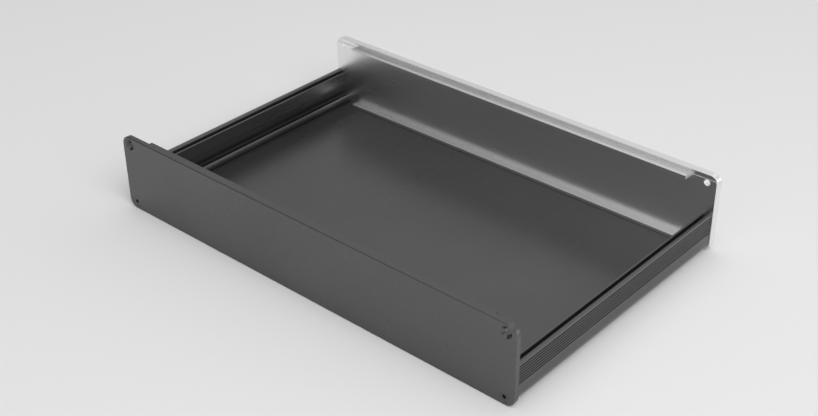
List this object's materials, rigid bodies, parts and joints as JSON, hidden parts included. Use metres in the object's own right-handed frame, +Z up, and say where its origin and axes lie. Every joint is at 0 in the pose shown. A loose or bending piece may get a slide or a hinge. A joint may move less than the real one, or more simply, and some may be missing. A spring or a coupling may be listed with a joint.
{
  "type": "aluminum amplifier case",
  "caption": "Open-topped aluminium amplifier case: the lower half of a split extrusion with thick end panels, ready for its upper half.",
  "frame": {"origin": "middle of the footprint, on the surface that the case stands on", "axes": "+X to the right across the panels seen from the front, +Y from the front panel to the rear panel, +Z up"},
  "size_m": [0.25, 0.16, 0.0415],
  "materials": {
    "shell_anodised": "dark grey anodised, satin",
    "front_anodised": "dark grey anodised over a fine blasted face",
    "rear_bright": "bare, finely brushed and bright",
    "screw_steel": "blackened"
  },
  "bodies": {
    "root": {"lower_shell": "shell_anodised", "front_panel": "front_anodised", "rear_panel": "rear_bright", "front_left_screw": "screw_steel", "front_right_screw": "screw_steel", "rear_left_screw": "screw_steel", "rear_right_screw": "screw_steel"}
  },
  "joints": []
}
